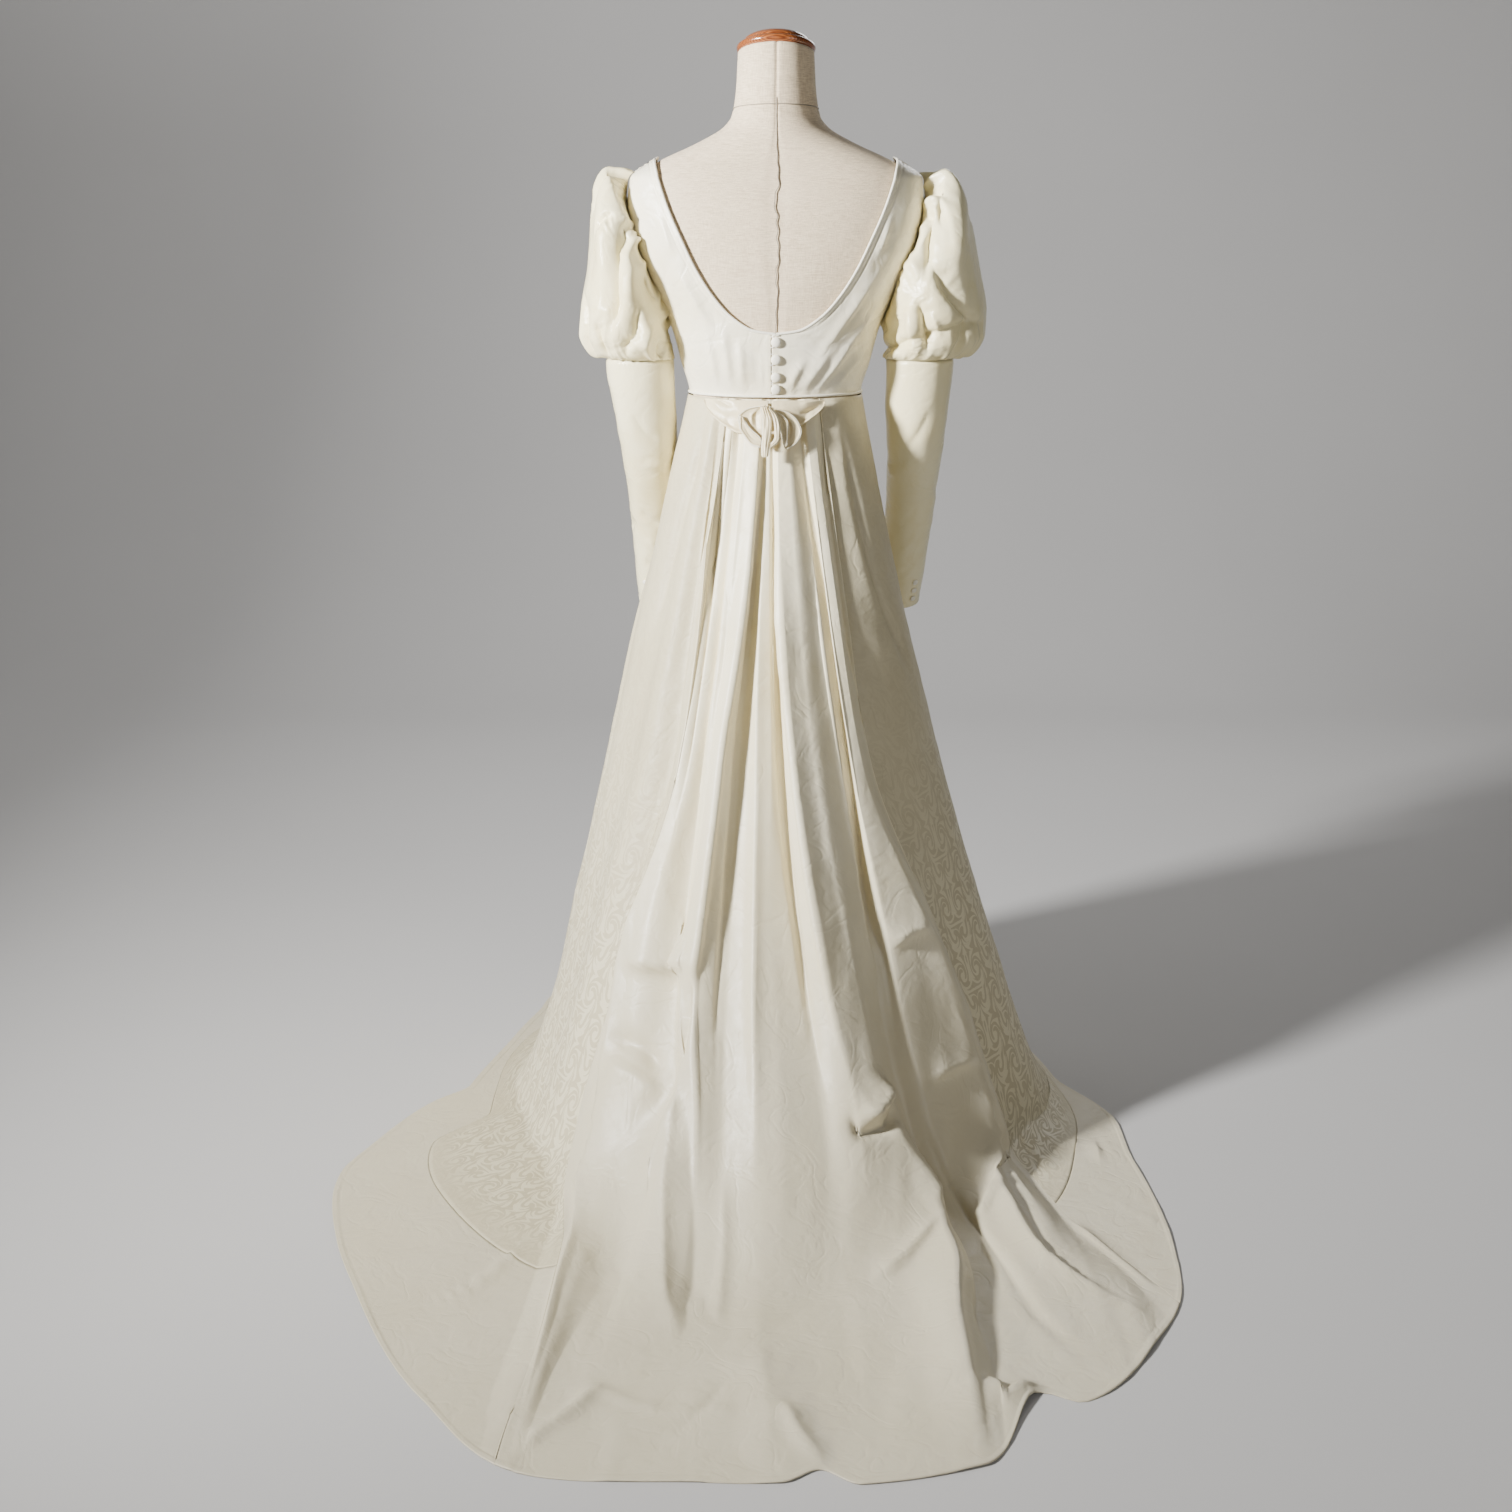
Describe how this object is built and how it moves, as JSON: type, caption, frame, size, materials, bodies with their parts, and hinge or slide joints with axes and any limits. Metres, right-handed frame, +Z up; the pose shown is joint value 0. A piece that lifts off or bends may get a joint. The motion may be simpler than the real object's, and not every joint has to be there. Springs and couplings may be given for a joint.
{
  "type": "wedding dress on dress form",
  "caption": "Empire-line ivory satin wedding dress with puffed long sleeves, deep scooped back, bow and pleated train, standing on a limbless dress form.",
  "frame": {"origin": "centre of the stand base's flat underside, on the floor", "axes": "+X towards the wearer's right, +Y towards the wearer's front, +Z up; the back of the dress and the train point along -Y"},
  "size_m": [1.1254, 1.3835, 1.5271],
  "materials": {
    "bodice_satin": "satin",
    "train_satin": "satin",
    "skirt_damask": "satin",
    "sleeve_satin": "satin",
    "button_cloth": "satin",
    "bow_satin": "satin",
    "form_linen": "matte",
    "cap_wood": "gloss varnish",
    "stand_metal": "satin"
  },
  "bodies": {
    "root": {"bodice_back_left": "bodice_satin", "bodice_back_right": "bodice_satin", "bodice_front": "bodice_satin", "neck_cord": "bodice_satin", "waist_cord": "bodice_satin", "skirt_train": "train_satin", "train_wing_left": "train_satin", "train_wing_right": "train_satin", "skirt_gore_left": "skirt_damask", "skirt_gore_right": "skirt_damask", "skirt_front": "skirt_damask", "sleeve_puff_left": "sleeve_satin", "sleeve_puff_right": "sleeve_satin", "sleeve_lower_left": "sleeve_satin", "sleeve_lower_right": "sleeve_satin", "back_button_1": "button_cloth", "back_button_2": "button_cloth", "back_button_3": "button_cloth", "back_button_4": "button_cloth", "cuff_button_left_1": "button_cloth", "cuff_button_left_2": "button_cloth", "cuff_button_left_3": "button_cloth", "cuff_button_right_1": "button_cloth", "cuff_button_right_2": "button_cloth", "cuff_button_right_3": "button_cloth", "swag_left": "bow_satin", "swag_right": "bow_satin", "bow_loop_left": "bow_satin", "bow_loop_left_inner": "bow_satin", "bow_loop_right": "bow_satin", "bow_loop_right_inner": "bow_satin", "bow_band": "bow_satin", "bow_fold": "bow_satin", "form_body": "form_linen", "form_neck_cap": "cap_wood", "stand_pole": "stand_metal", "stand_base": "stand_metal"}
  },
  "joints": []
}
